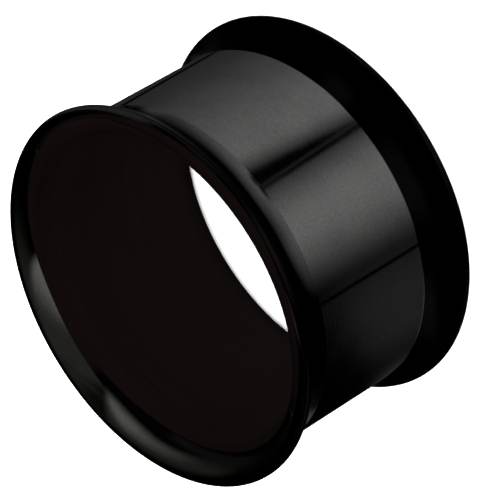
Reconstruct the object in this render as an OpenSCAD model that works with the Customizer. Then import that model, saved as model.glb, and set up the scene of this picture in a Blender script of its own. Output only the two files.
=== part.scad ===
// Double-flared flesh tunnel: one turned piece, a short thin tube that opens
// into a rounded, flared rim at each end. It stands on its rear rim, with the
// bore along +Z and the front rim on top. Millimetres.

/* [Tube] */
// Outside diameter of the straight tube that sits in the ear
tube_d = 20; // [18:0.5:26]
// Wall thickness of the straight tube
wall = 1; // [0.8:0.1:1.2]
// Length over both rims
length = 13; // [11:0.5:16]

/* [Flares] */
// How far each rim stands out past the tube, measured on the radius
flare_out = 1; // [0.9:0.05:1.1]
// Length of each flare along the axis, from the rim's end to the tube
flare_len = 2.75; // [2.4:0.05:3]
// Angle of the crease where each flare leaves the tube
flare_kink = 12; // [8:1:14]
// Radius of the rounded rim edge
rim_round = 0.4; // [0.3:0.05:0.45]
// Depth of the bell-shaped mouth inside each end
mouth_len = 2.2; // [2.1:0.1:2.6]

/* [Hidden] */
$fn = 144;

tube_r = tube_d / 2;
throat_r = tube_r - wall;
rim_r = tube_r + flare_out;

// Every point below is [radius, depth from the rim's end].
// Centre of the rim's rounding
rim_c = [rim_r - rim_round, rim_round];

// Outer flare: an arc that leaves the tube at flare_kink and runs into the
// rim's rounding
to_tube = [tube_r, flare_len] - rim_c;
flare_dir = [cos(flare_kink), sin(flare_kink)];
flare_arc = (to_tube * to_tube - rim_round * rim_round)
    / (2 * (rim_round - to_tube * flare_dir));
flare_c = [tube_r, flare_len] + flare_arc * flare_dir;

// Mouth: an arc that leaves the throat along the axis and runs into the rim's
// rounding
to_throat = rim_c - [throat_r, mouth_len];
mouth_arc = (to_throat * to_throat - rim_round * rim_round)
    / (2 * (to_throat[0] - rim_round));
mouth_c = [throat_r + mouth_arc, mouth_len];

// The flare's arc is cut this much deeper than where it would only touch the
// rim's rounding, so that the two arcs cross cleanly
cross = 0.0005;

// The point at distance d from a, in the direction of b
function toward(a, b, d) = a + (b - a) / norm(b - a) * d;

// Everything on the material side of the mouth's arc and the throat
module mouth_side() {
    translate(mouth_c) circle(r = mouth_arc);
    translate([throat_r, mouth_len]) square([mouth_arc, flare_len]);
}

// Half section of one flared end, with the rim's end at depth 0
module flare_section() {
    difference() {
        union() {
            translate(rim_c) circle(r = rim_round);
            intersection() {
                polygon([
                    [throat_r - 1, flare_len + 0.4],
                    [throat_r - 1, -1],
                    toward(rim_c, mouth_c, -(rim_round + 0.5)),
                    rim_c,
                    toward(rim_c, flare_c, rim_round + 0.3),
                    [tube_r + 0.4, flare_len + 0.4]
                ]);
                mouth_side();
            }
        }
        translate(flare_c) circle(r = flare_arc + cross);
    }
}

// Half section of the straight tube between the flares
module tube_section() {
    translate([throat_r, flare_len - 0.5])
        square([wall, length - 2 * flare_len + 1]);
}

// The whole tunnel, turned about +Z
module tunnel() {
    color([0.06, 0.06, 0.06])
        rotate_extrude() {
            tube_section();
            flare_section();
            translate([0, length]) mirror([0, 1]) flare_section();
        }
}

tunnel();
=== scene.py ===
import math

import bpy
from mathutils import Matrix, Vector


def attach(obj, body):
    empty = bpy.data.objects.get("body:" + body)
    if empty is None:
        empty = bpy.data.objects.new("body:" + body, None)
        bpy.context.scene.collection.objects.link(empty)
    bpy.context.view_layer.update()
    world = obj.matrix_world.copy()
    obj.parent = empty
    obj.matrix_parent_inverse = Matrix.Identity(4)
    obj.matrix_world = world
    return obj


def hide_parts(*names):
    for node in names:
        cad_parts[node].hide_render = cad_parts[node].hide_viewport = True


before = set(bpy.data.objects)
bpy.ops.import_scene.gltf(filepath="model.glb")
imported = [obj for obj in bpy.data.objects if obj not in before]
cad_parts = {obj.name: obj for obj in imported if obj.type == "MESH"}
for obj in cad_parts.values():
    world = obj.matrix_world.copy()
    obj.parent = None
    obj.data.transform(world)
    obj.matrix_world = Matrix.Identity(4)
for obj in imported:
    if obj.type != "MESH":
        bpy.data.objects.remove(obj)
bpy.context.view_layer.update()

MM = 0.001

# ---------------------------------------------------------------- camera
# The image is 486 x 500. The bore stands along +Z and the camera is on the
# -Y side, above the floor, rolled so that the bore runs up to the right in
# the picture with the front rim nearest the lower left corner.
scene = bpy.context.scene
cam_data = bpy.data.cameras.new("camera")
cam = bpy.data.objects.new("camera", cam_data)
scene.collection.objects.link(cam)
back = Vector((0.00070866, -0.80727331, 0.59017735)).normalized()
up = Vector((0.85973252, -0.30093788, -0.41266982))
right = up.cross(back).normalized()
up = back.cross(right).normalized()
cam.matrix_world = Matrix((
    (right.x, up.x, back.x, 0.0),
    (right.y, up.y, back.y, -164.7383 * MM),
    (right.z, up.z, back.z, 126.5883 * MM),
    (0.0, 0.0, 0.0, 1.0),
))
cam_data.sensor_width = 36.0
cam_data.lens = 274.956
cam_data.clip_start = 0.01
cam_data.clip_end = 5.0
scene.camera = cam

# ---------------------------------------------------------------- tunnel
# The sizes are part.scad's, in millimetres.
TUBE_R, THROAT_R, RIM_R, LENGTH = 10.0, 9.0, 11.0, 13.0
FLARE_LEN, KINK, ROUND, MOUTH = 2.75, math.radians(12.0), 0.4, 2.2
# the bore's matt finish ends on the mouth in a circle, a little off centre
BORE_R, BORE_X, BORE_Y = 9.84, 0.41, -0.51
# and at the rear it runs out to the rim
REAR_R = 10.4
N_FLARE, N_RIM, N_MOUTH, N_BORE, N_THROAT, N_REAR_MOUTH, N_REAR_BORE = 26, 28, 20, 16, 10, 2, 24


def arc(centre, radius, a0, a1, steps):
    """Points of an arc, [radius, depth], from angle a0 to a1."""
    return [
        (centre[0] + radius * math.cos(a0 + (a1 - a0) * i / steps),
         centre[1] + radius * math.sin(a0 + (a1 - a0) * i / steps))
        for i in range(steps + 1)
    ]


def finish_radius(a):
    """Where the bore's finish ends at angle a about +Z."""
    along = BORE_X * math.cos(a) + BORE_Y * math.sin(a)
    return along + math.sqrt(BORE_R ** 2 - BORE_X ** 2 - BORE_Y ** 2 + along ** 2)


def flare_points(finish, n_mouth, n_bore):
    """A flared end's outline, from the tube over the rim to the throat, [radius, depth].

    A point lies on the mouth at radius finish, where the bore's finish begins."""
    lip = (RIM_R - ROUND, ROUND)
    tx, ty = TUBE_R - lip[0], FLARE_LEN - lip[1]
    ck, sk = math.cos(KINK), math.sin(KINK)
    f = (tx * tx + ty * ty - ROUND * ROUND) / (2 * (ROUND - tx * ck - ty * sk))
    fc = (TUBE_R + f * ck, FLARE_LEN + f * sk)
    ux, uy = lip[0] - THROAT_R, lip[1] - MOUTH
    m = (ux * ux + uy * uy - ROUND * ROUND) / (2 * (ux - ROUND))
    mc = (THROAT_R + m, MOUTH)
    a_tube = math.atan2(FLARE_LEN - fc[1], TUBE_R - fc[0]) % (2 * math.pi)
    a_lip = math.atan2(lip[1] - fc[1], lip[0] - fc[0]) % (2 * math.pi)
    flare = arc(fc, f, a_tube, a_lip, N_FLARE)
    b0 = math.atan2(fc[1] - lip[1], fc[0] - lip[0])
    b1 = math.atan2(lip[1] - mc[1], lip[0] - mc[0])
    rim = arc(lip, ROUND, b0, b1, N_RIM)
    c0 = math.atan2(lip[1] - mc[1], lip[0] - mc[0])
    c1 = -math.acos((finish - mc[0]) / m)
    mouth = arc(mc, m, c0, c1, n_mouth) + arc(mc, m, c1, -math.pi, n_bore)[1:]
    return flare + rim[1:] + mouth[1:]


def outline(a):
    """The closed half section at angle a, (radius, height), front end first."""
    pts = [(r, LENGTH - d) for r, d in flare_points(finish_radius(a), N_MOUTH, N_BORE)]
    z0, z1 = LENGTH - MOUTH, MOUTH
    pts += [(THROAT_R, z0 + (z1 - z0) * i / N_THROAT) for i in range(1, N_THROAT)]
    pts += reversed(flare_points(REAR_R, N_REAR_MOUTH, N_REAR_BORE))
    n_tube = 14
    z0, z1 = FLARE_LEN, LENGTH - FLARE_LEN
    pts += [(TUBE_R, z0 + (z1 - z0) * i / n_tube) for i in range(1, n_tube)]
    return pts


def turned(name, section, around):
    """A closed half section turned about +Z."""
    n = len(section(0.0))
    verts = []
    for k in range(around):
        a = 2 * math.pi * k / around
        c, s = math.cos(a), math.sin(a)
        verts += [(r * c * MM, r * s * MM, z * MM) for r, z in section(a)]
    faces = []
    for k in range(around):
        a, b = k * n, ((k + 1) % around) * n
        for i in range(n):
            j = (i + 1) % n
            faces.append((a + i, a + j, b + j, b + i))
    mesh = bpy.data.meshes.new(name)
    mesh.from_pydata(verts, [], faces)
    mesh.validate()
    mesh.polygons.foreach_set("use_smooth", [True] * len(mesh.polygons))
    ob = bpy.data.objects.new(name, mesh)
    scene.collection.objects.link(ob)
    return ob


tunnel = turned("flesh_tunnel", outline, 400)
mesh = tunnel.data
# faces wind so that normals point out of the metal
volume = sum(
    p.area * p.normal.dot(p.center) for p in list(mesh.polygons)
)
if volume < 0:
    mesh.flip_normals()
# the crease where each flare leaves the tube stays sharp
for e in mesh.edges:
    p, q = (mesh.vertices[i].co for i in e.vertices)
    if abs(p.z - q.z) < 1e-8 and abs(math.hypot(p.x, p.y) - TUBE_R * MM) < 1e-7:
        z = p.z / MM
        if abs(z - FLARE_LEN) < 1e-4 or abs(z - (LENGTH - FLARE_LEN)) < 1e-4:
            e.use_edge_sharp = True

# ---------------------------------------------------------------- materials
def wire(tree, kind, inputs=(), **settings):
    """A node with its inputs linked or set, and its first output."""
    node = tree.nodes.new(kind)
    for key, value in settings.items():
        setattr(node, key, value)
    for key, value in dict(inputs).items():
        if isinstance(value, bpy.types.NodeSocket):
            tree.links.new(value, node.inputs[key])
        else:
            node.inputs[key].default_value = value
    return node.outputs[0]


def calc(tree, op, *args):
    return wire(tree, "ShaderNodeMath", {i: a for i, a in enumerate(args)}, operation=op)


def ramp(tree, value, lo, hi, start=0.0, end=1.0):
    return wire(tree, "ShaderNodeMapRange", {
        "Value": value, "From Min": lo, "From Max": hi, "To Min": start, "To Max": end,
    }, interpolation_type="SMOOTHSTEP")


def shader(name):
    """A new material: its tree, its shader, and the surface's place, x, y, radius and height in mm."""
    mat = bpy.data.materials.new(name)
    mat.use_nodes = True
    tree = mat.node_tree
    place = wire(tree, "ShaderNodeVectorMath", {
        0: tree.nodes.new("ShaderNodeTexCoord").outputs["Object"], 1: (1000, 1000, 1000),
    }, operation="MULTIPLY")
    split = tree.nodes.new("ShaderNodeSeparateXYZ")
    tree.links.new(place, split.inputs[0])
    x, y, height = split.outputs
    radius = calc(tree, "SQRT", calc(tree, "ADD", calc(tree, "MULTIPLY", x, x), calc(tree, "MULTIPLY", y, y)))
    return mat, tree, tree.nodes["Principled BSDF"], place, x, y, radius, height


def noise(tree, vector, scale, detail=2.0, roughness=0.5, w=None):
    values = {"Vector": vector, "Scale": scale, "Detail": detail, "Roughness": roughness}
    if w is not None:
        values["W"] = w
    return wire(tree, "ShaderNodeTexNoise", values, noise_dimensions="3D" if w is None else "4D")


def turning(tree, x, y, radius, height, pitch, run):
    """Fine lines that run round the axis: quick along the section, slow around it."""
    vector = wire(tree, "ShaderNodeCombineXYZ", {
        0: calc(tree, "MULTIPLY", x, 1 / run), 1: calc(tree, "MULTIPLY", y, 1 / run),
        2: calc(tree, "MULTIPLY", height, 1 / pitch)})
    return noise(tree, vector, 1.0, 2.0, 0.6, w=calc(tree, "MULTIPLY", radius, 1 / pitch))


def blend(tree, factor, first, second):
    node = tree.nodes.new("ShaderNodeMix")
    node.data_type = "RGBA"
    tree.links.new(factor, node.inputs[0])
    for slot, colour in ((6, first), (7, second)):
        if isinstance(colour, bpy.types.NodeSocket):
            tree.links.new(colour, node.inputs[slot])
        else:
            node.inputs[slot].default_value = (*colour, 1)
    return node.outputs[2]


# black coated steel, turned and polished
metal, mt, b, place, x, y, radius, height = shader("black_pvd_polished")
lines = turning(mt, x, y, radius, height, 0.11, 9.0)
grain = noise(mt, place, 9.0, 3.0, 0.65)
haze = noise(mt, place, 0.55, 3.0, 0.55)
# painted shade: the colour is darker over the rims' edges, darker still under the front crest except on the +X
# side, and darkest on the rear flare, so that these parts show little gloss; the rims' edges are also a little
# rougher
rim = ramp(mt, radius, 10.32, 10.52)
under_crest_shade = calc(mt, "MULTIPLY", ramp(mt, height, 12.66, 12.80, 1.0, 0.0), ramp(mt, x, 6.4, 8.4, 1.0, 0.0))
edge = blend(mt, under_crest_shade, (0.0110, 0.0078, 0.0076), (0.0030, 0.0028, 0.0028))
steel = blend(mt, ramp(mt, height, 12.2, 12.5), (0.0600, 0.0600, 0.0590), (0.0605, 0.0600, 0.0530))
steel = blend(mt, rim, steel, edge)
# painted shade: below the rear crease the colour is almost black
steel = blend(mt, ramp(mt, height, FLARE_LEN - 0.06, FLARE_LEN), (0.0025, 0.0023, 0.0023), steel)
# painted highlight: the colour is made far brighter along the front crest, on one side only, and smoother there
side = calc(mt, "MULTIPLY_ADD", x, 0.609, calc(mt, "MULTIPLY", y, 0.793))
painted_highlight = calc(mt, "MULTIPLY", ramp(mt, height, 12.63, 12.73), ramp(mt, height, 12.86, 12.91, 1.0, 0.0))
painted_highlight = calc(mt, "MULTIPLY", painted_highlight, calc(mt, "MULTIPLY", ramp(mt, radius, 10.75, 10.85), ramp(mt, side, -2.6, 0.0)))
steel = blend(mt, painted_highlight, steel, (0.2600, 0.2600, 0.2550))
tone = calc(mt, "MULTIPLY", ramp(mt, haze, 0.2, 0.8, 0.93, 1.07), ramp(mt, grain, 0.2, 0.8, 0.82, 1.18))
tone = calc(mt, "MULTIPLY", tone, ramp(mt, lines, 0.2, 0.8, 0.96, 1.04))
b.inputs["Specular Tint"].default_value = (0.5, 0.5, 0.5, 1)
rough = calc(mt, "ADD", ramp(mt, haze, 0.25, 0.75, 0.045, 0.070), ramp(mt, lines, 0.2, 0.8, -0.006, 0.006))
rough = calc(mt, "MULTIPLY_ADD", calc(mt, "SUBTRACT", rim, painted_highlight), 0.06, rough)
# painted shade: on the -Y side the top of the rim is made dark, faintly warm and matt like the bore, which hides
# the highlights there
turn = calc(mt, "DIVIDE", calc(mt, "MULTIPLY_ADD", x, 0.259, calc(mt, "MULTIPLY", y, -0.966)), radius)
matt = ramp(mt, calc(mt, "MULTIPLY_ADD", turn, -0.816, radius), 10.13, 10.21, 1.0, 0.0)
turn = calc(mt, "DIVIDE", calc(mt, "MULTIPLY_ADD", x, 0.391, calc(mt, "MULTIPLY", y, -0.921)), radius)
matt = calc(mt, "MULTIPLY", calc(mt, "MULTIPLY", matt, ramp(mt, turn, 0.15, 0.35)), ramp(mt, height, 12.70, 12.78))
steel = blend(mt, ramp(mt, matt, 0.0, 0.12), steel, (0.0016, 0.0009, 0.0009))
mt.links.new(wire(mt, "ShaderNodeVectorMath", {0: steel, "Scale": tone}, operation="SCALE"), b.inputs["Base Color"])
mt.links.new(calc(mt, "SUBTRACT", 1.0, matt), b.inputs["Metallic"])
b.inputs["Specular IOR Level"].default_value = 0.01
mt.links.new(calc(mt, "MULTIPLY_ADD", ramp(mt, matt, 0.12, 0.7), 0.55, rough), b.inputs["Roughness"])
relief = calc(mt, "MULTIPLY_ADD", lines, 0.35, calc(mt, "MULTIPLY", grain, 0.7))
bump = wire(mt, "ShaderNodeBump", {"Strength": 0.06, "Distance": 0.00001, "Height": relief})
mt.links.new(bump, b.inputs["Normal"])
mesh.materials.append(metal)

# the bore keeps a matt finish, very dark and faintly warm
bore, bt, b, place, x, y, radius, height = shader("black_matt_bore")
lines = turning(bt, x, y, radius, height, 0.16, 12.0)
grain = noise(bt, place, 7.0, 3.0, 0.6)
tone = calc(bt, "MULTIPLY_ADD", grain, 0.5, calc(bt, "MULTIPLY", lines, 0.5))
black = blend(bt, ramp(bt, tone, 0.3, 0.7), (0.0024, 0.0014, 0.0014), (0.0034, 0.0019, 0.0019))
# painted shade and painted light that even out the bore's lighting: a little darker on the mouth's +Y side, a
# little lighter deep down at the sides
mouth_painted_shade = calc(bt, "MULTIPLY", ramp(bt, height, 10.8, 12.3, 0.0, 0.42), ramp(bt, y, -3.0, 5.0))
deep_painted_light = calc(bt, "MULTIPLY", ramp(bt, height, 10.9, 11.9, 0.55, 0.0), ramp(bt, y, 0.0, 6.0, 1.0, 0.0))
deep_painted_light = calc(bt, "MULTIPLY", deep_painted_light, ramp(bt, calc(bt, "ABSOLUTE", x), 5.5, 8.8))
tone = calc(bt, "SUBTRACT", calc(bt, "ADD", 1.0, deep_painted_light), mouth_painted_shade)
bt.links.new(wire(bt, "ShaderNodeVectorMath", {0: black, "Scale": tone}, operation="SCALE"), b.inputs["Base Color"])
b.inputs["Specular IOR Level"].default_value = 0.01
bt.links.new(ramp(bt, grain, 0.2, 0.8, 0.58, 0.70), b.inputs["Roughness"])
bump = wire(bt, "ShaderNodeBump", {"Strength": 0.25, "Distance": 0.00001, "Height": lines})
bt.links.new(bump, b.inputs["Normal"])
mesh.materials.append(bore)
first = N_FLARE + N_RIM + N_MOUTH
rows = len(outline(0.0))
for p in mesh.polygons:
    if first <= p.index % rows < first + N_BORE + N_THROAT + N_REAR_BORE:
        p.material_index = 1
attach(tunnel, "root")
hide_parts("tunnel")

# ---------------------------------------------------------------- floor
fm = bpy.data.meshes.new("floor")
ring = 96
fm.from_pydata(
    [(1.2 * math.cos(2 * math.pi * i / ring), 1.2 * math.sin(2 * math.pi * i / ring), 0) for i in range(ring)],
    [], [tuple(range(ring))])
floor = bpy.data.objects.new("floor", fm)
scene.collection.objects.link(floor)
fmat = bpy.data.materials.new("floor_white")
fmat.use_nodes = True
b = fmat.node_tree.nodes["Principled BSDF"]
b.inputs["Base Color"].default_value = (0.9, 0.9, 0.9, 1)
b.inputs["Roughness"].default_value = 1.0
b.inputs["Specular IOR Level"].default_value = 0.0
fm.materials.append(fmat)
floor.visible_glossy = False

# a light card that lies behind the object and just under the floor, so it
# shows only in the gloss of the tube's back
cm = bpy.data.meshes.new("back_card")
cm.from_pydata([(cx * MM, cy * MM, -1 * MM) for cx, cy in (
    (-5.3, 11.7), (1.7, 12.9), (4.4, 25.6), (5.5, 36), (-11, 36), (-13, 21.7))], [], [tuple(range(6))])
card = bpy.data.objects.new("back_card", cm)
scene.collection.objects.link(card)
cmat, ct, b, place, x, y, radius, height = shader("card_glow")
b.inputs["Base Color"].default_value = (0, 0, 0, 1)
b.inputs["Emission Color"].default_value = (1, 1, 1, 1)
ct.links.new(ramp(ct, x, -11, 2, 0.35, 1.1), b.inputs["Emission Strength"])
cm.materials.append(cmat)

# ---------------------------------------------------------------- studio
# Soft cards and dark flags around the object, seen only in its gloss.
# Directions are in degrees: az runs from -Y towards +X, el is the height
# above the horizon. A card comes up between a0 and a1 and goes down between
# a2 and a3, the same for its height e0 to e3. in_ and out lean its two sides
# by that many degrees for each degree of height above LEAN_EL, and hang
# lowers the top edge of its far ends.
LEAN_EL = -37.5
STRIPS = [
    # a0, a1, a2, a3, e0, e1, e2, e3, in_, out, hang, strength
    # right-hand strip light
    (-51.5, -6, -4, 36, -50, -44, -20, -15, 1.5, -1.5, 0.14, 1.85),
    # left-hand strip light, bright at its near side, with a long tail
    (31, 50, 50, 100, -50, -44, -20, -15, 3.0, 0.0, 0.14, 0.75),
    (31, 50, 84, 168, -50, -44, -20, -15, 3.0, 0.0, 0.14, 0.90),
    # dim walls on the far right and the far left
    (-140, -100, -84, -20, -50, -44, -37.3, -36.6, 0.0, 0.0, 0.0, 0.24),
    (-200, -190, -140, -95, -50, -44, -37.4, -36.5, 0.0, 0.0, 0.0, 0.09),
    (160, 163, 178, 182, -50, -44, -34, -26, -4.1, -4.1, 0.0, 0.03),
]
OTHERS = [
    # strips behind and to the right, for the sides that the picture doesn't show
    (-124, -104, -88, -60, -34, -30, -14, -4, 0.0, 0.0, 0.0, 1.00),
    (166, 176, 400, 401, -33, -28, -4, 6, 0.0, 0.0, 0.0, 1.20),
    (-401, -400, -176, -166, -33, -28, -4, 6, 0.0, 0.0, 0.0, 1.20),
    # the upper parts of the two strips, seen from lower down
    (-46, -22, -6, 20, -30, -18, 0, 12, 0.0, 0.0, 0.0, 1.00),
    (34, 44, 50, 64, -30, -18, -4, 8, 0.0, 0.0, 0.0, 0.80),
    # a dim wall on the left
    (78, 88, 140, 156, -36, -28, 12, 24, 0.0, 0.0, 0.0, 0.045),
    # a faint glow all round the horizon
    (-401, -400, 400, 401, -24, -14, 20, 34, 0.0, 0.0, 0.0, 0.01),
    # and below
    (-90, -70, 70, 90, -90, -90, -84, -74, 0.0, 0.0, 0.0, 0.03),
]
AMBIENT = 0.0015

world = bpy.data.worlds.new("studio")
scene.world = world
world.use_nodes = True
wt = world.node_tree
wt.nodes.clear()

way = wt.nodes.new("ShaderNodeTexCoord").outputs["Generated"]
split = wt.nodes.new("ShaderNodeSeparateXYZ")
wt.links.new(way, split.inputs[0])
az = calc(wt, "MULTIPLY", calc(wt, "ARCTAN2", split.outputs["X"], calc(wt, "MULTIPLY", split.outputs["Y"], -1.0)), 180 / math.pi)
el = calc(wt, "MULTIPLY", calc(wt, "ARCSINE", split.outputs["Z"]), 180 / math.pi)
far_az = calc(wt, "ABSOLUTE", az)
rise = wire(wt, "ShaderNodeMapRange", {
    "Value": el, "From Min": LEAN_EL - 4, "From Max": LEAN_EL + 4, "To Min": -4.0, "To Max": 4.0})


def product(*terms):
    out = terms[0]
    for t in terms[1:]:
        out = calc(wt, "MULTIPLY", out, t)
    return out


def window(value, a0, a1, a2, a3):
    """Up between a0 and a1, down between a2 and a3."""
    return product(ramp(wt, value, a0, a1), ramp(wt, value, a2, a3, 1.0, 0.0))


def past(value, start, slope):
    """slope for each degree that the value is past start, else nothing."""
    return calc(wt, "MULTIPLY", calc(wt, "MAXIMUM", calc(wt, "SUBTRACT", value, start), 0.0), slope)


def lit(rows):
    """The sum of the cards in a table."""
    total = None
    for a0, a1, a2, a3, e0, e1, e2, e3, lean_in, lean_out, hang, strength in rows:
        side = az if lean_in == 0 else calc(wt, "MULTIPLY_ADD", rise, -lean_in, az)
        card = ramp(wt, side, a0, a1)
        side = az if lean_out == 0 else calc(wt, "MULTIPLY_ADD", rise, -lean_out, az)
        card = product(card, ramp(wt, side, a2, a3, 1.0, 0.0))
        if e1 > -90:
            card = product(card, ramp(wt, el, e0, e1))
        top = el if hang == 0 else calc(wt, "ADD", el, past(far_az, 50.0, hang))
        card = product(card, ramp(wt, top, e2, e3, 1.0, 0.0))
        total = calc(wt, "MULTIPLY", card, strength) if total is None else calc(wt, "MULTIPLY_ADD", card, strength, total)
    return total


# dark flags before the strips: one cuts the right-hand strip and has a slit
# in it, two are thin lines
cut = ramp(wt, calc(wt, "MULTIPLY_ADD", rise, 1.7, az), 22.4, 25.6, 1.0, 0.0)
far = ramp(wt, calc(wt, "MULTIPLY_ADD", rise, -2.5, az), 33.6, 37.2)
side = calc(wt, "MULTIPLY_ADD", rise, 2.6, az)
slit = product(window(side, 26.2, 27.4, 27.4, 28.8), ramp(wt, el, -32, -28, 1.0, 0.0))
line_a = calc(wt, "SUBTRACT", 1.0, window(az, -57.8, -56.8, -55.4, -54.4))
side = calc(wt, "MULTIPLY_ADD", rise, 4.1, az)
line_b = calc(wt, "SUBTRACT", 1.0, window(side, 153, 155, 158, 160))
keep = product(calc(wt, "MAXIMUM", cut, far), line_a, line_b)
# and two low ones on the far left and the far right
ends = calc(wt, "MAXIMUM", ramp(wt, az, 146, 160), ramp(wt, az, -130, -110, 1.0, 0.0))
keep = product(keep, calc(wt, "SUBTRACT", 1.0, product(ramp(wt, el, -42.5, -39.5, 1.0, 0.0), ends, 0.9)))
keep = calc(wt, "MAXIMUM", keep, ramp(wt, el, -30, -24))
total = product(lit(STRIPS), keep)
total = calc(wt, "MULTIPLY_ADD", slit, 0.28, total)
total = calc(wt, "ADD", total, lit(OTHERS))

# the table's glow, its sides drawn in towards the floor, with one dark notch
left = calc(wt, "MULTIPLY_ADD", calc(wt, "ADD", el, 72.0), -1.3, az)
right_ = calc(wt, "MULTIPLY_ADD", calc(wt, "ADD", calc(wt, "MAXIMUM", el, -72.0), 62.0), -1.6, az)
notch = calc(wt, "SUBTRACT", 1.0, product(window(az, 16, 30, 44, 54), window(el, -67, -62, -50, -44), 0.92))
glow = product(ramp(wt, left, -88, -20), ramp(wt, right_, 60, 140, 1.0, 0.0), window(el, -92, -58, -48, -42), notch)
total = calc(wt, "MULTIPLY_ADD", glow, 1.15, total)

# overhead: a left and a right panel with straight edges, and a dim ceiling;
# gx and gy are places on it, the ceiling one unit up
high = calc(wt, "MAXIMUM", split.outputs["Z"], 0.05)
gx = calc(wt, "DIVIDE", split.outputs["X"], high)
gy = calc(wt, "DIVIDE", split.outputs["Y"], high)
s_ = calc(wt, "MULTIPLY_ADD", gy, -0.832, calc(wt, "MULTIPLY_ADD", gx, 0.555, 0.253))
q_ = calc(wt, "MULTIPLY_ADD", gy, 0.27, calc(wt, "SUBTRACT", gx, 0.385))
inside = product(ramp(wt, s_, -0.07, 0.13), ramp(wt, el, 38, 42))
left = product(inside, ramp(wt, gx, -0.13, -0.76), 1.06)
centre = product(inside, ramp(wt, az, 22, 46, 1.0, 0.0), 0.24)
wide = product(ramp(wt, el, 44, 74), 0.175)
shade = product(window(q_, -0.27, -0.14, -0.06, -0.02), window(az, 40, 60, 125, 150), 0.75)
ceiling = product(calc(wt, "MAXIMUM", centre, wide), calc(wt, "SUBTRACT", 1.0, shade))
low = calc(wt, "ADD", el, ramp(wt, az, 80, 126, 0.0, 18.0))
top = calc(wt, "ADD", el, past(az, 108.0, 0.9))
right_ = product(ramp(wt, q_, -0.05, 0.13), ramp(wt, az, 66, 126, 1.0, 0.15), ramp(wt, low, 29, 53), ramp(wt, top, 52, 84, 1.0, 0.1), window(az, 28, 50, 132, 150), 1.14)
total = calc(wt, "ADD", total, calc(wt, "ADD", left, calc(wt, "ADD", ceiling, right_)))
total = calc(wt, "ADD", total, AMBIENT)

# a dim warm wall behind and to the right
warm = product(
    ramp(wt, calc(wt, "ADD", el, past(far_az, 60.0, 0.36)), 12, 20),
    ramp(wt, calc(wt, "ADD", el, past(far_az, 90.0, 0.2)), 36, 42, 1.0, 0.0),
    calc(wt, "MAXIMUM", ramp(wt, az, 14, 26, 1.0, 0.0), ramp(wt, az, 158, 168)),
    ramp(wt, far_az, 120, 165, 0.085, 0.029))
white = wire(wt, "ShaderNodeVectorMath", {0: (1.0, 1.0, 1.0), "Scale": total}, operation="SCALE")
warm = wire(wt, "ShaderNodeVectorMath", {0: (1.0, 0.59, 0.59), "Scale": warm}, operation="SCALE")
colour = wire(wt, "ShaderNodeVectorMath", {0: white, 1: warm}, operation="ADD")
cards = wire(wt, "ShaderNodeBackground", {"Color": colour, "Strength": 1.0})
plain = wire(wt, "ShaderNodeBackground", {"Color": (1, 1, 1, 1), "Strength": 1.0})
seen = wt.nodes.new("ShaderNodeLightPath").outputs["Is Camera Ray"]
mix = wt.nodes.new("ShaderNodeMixShader")
wt.links.new(seen, mix.inputs[0])
wt.links.new(cards, mix.inputs[1])
wt.links.new(plain, mix.inputs[2])
out = wt.nodes.new("ShaderNodeOutputWorld")
wt.links.new(mix.outputs[0], out.inputs["Surface"])


def sun(name, strength, angle, el_deg, az_deg=0):
    """A soft sun at that height and az, seen by matt surfaces only."""
    data = bpy.data.lights.new(name, "SUN")
    data.energy = strength
    data.angle = math.radians(angle)
    ob = bpy.data.objects.new(name, data)
    scene.collection.objects.link(ob)
    ob.rotation_euler = (math.radians(90 - el_deg), 0, math.radians(az_deg))
    ob.location = (0, -0.3, 0.4)
    ob.visible_glossy = False
    return ob


sun("key", 2.4, 18, 47)
sun("low_key", 3.0, 7, 37.8)
sun("right_fill", 2.6, 30, 46, -75)
sun("left_fill", 2.6, 30, 46, 75)
sun("fill", 2.0, 120, 90)
scene.view_settings.view_transform = "Standard"
